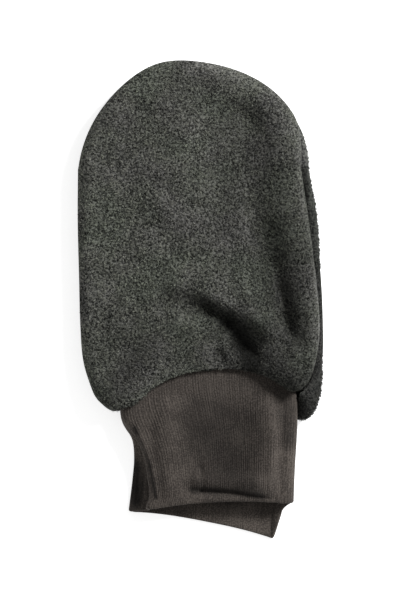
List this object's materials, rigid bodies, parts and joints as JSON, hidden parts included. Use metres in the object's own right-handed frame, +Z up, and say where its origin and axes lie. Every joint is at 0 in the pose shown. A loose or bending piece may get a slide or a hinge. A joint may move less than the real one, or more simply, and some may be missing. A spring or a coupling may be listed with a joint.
{
  "type": "fleece mitt",
  "caption": "Thumbless fleece hand mitt lying flat, with a rolled side seam, soft folds and a ribbed knit wrist cuff with a hollow inside.",
  "frame": {"origin": "middle of the mitt's outline seen from above, on the surface it lies on", "axes": "+Z up from the surface, +Y from the cuff towards the fingertips, +X to the side with the rolled seam"},
  "size_m": [0.1426, 0.278, 0.0304],
  "materials": {
    "fleece_front": "pile fleece, matte",
    "fleece_back": "pile fleece, matte",
    "rib_knit": "ribbed knit, matte"
  },
  "bodies": {
    "root": {"front_panel": "fleece_front", "back_panel": "fleece_back", "cuff": "rib_knit"}
  },
  "joints": []
}
